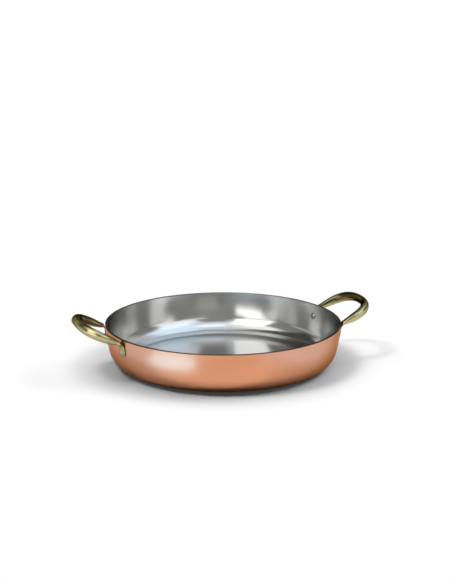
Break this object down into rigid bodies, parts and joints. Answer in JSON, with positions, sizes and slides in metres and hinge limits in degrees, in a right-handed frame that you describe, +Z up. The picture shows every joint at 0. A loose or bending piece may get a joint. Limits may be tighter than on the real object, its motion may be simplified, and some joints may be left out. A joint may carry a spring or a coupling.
{
  "type": "braising pan",
  "caption": "Shallow round braising pan of copper with a bonded steel lining, a flat base, a rounded corner and riveted brass loop handles on opposite sides.",
  "frame": {"origin": "middle of the flat base, on the surface that the pan stands on", "axes": "+X towards the right handle, +Y towards the back, +Z up through the rim"},
  "size_m": [0.4136, 0.32, 0.0787],
  "materials": {
    "copper": null,
    "polished_steel": "polished, faintly turned",
    "cast_brass": "polished casting",
    "rivet_steel": "polished head"
  },
  "bodies": {
    "root": {"copper_shell": "copper", "steel_lining": "polished_steel", "left_handle": "cast_brass", "right_handle": "cast_brass", "left_front_rivet": "rivet_steel", "left_back_rivet": "rivet_steel", "right_front_rivet": "rivet_steel", "right_back_rivet": "rivet_steel"}
  },
  "joints": []
}
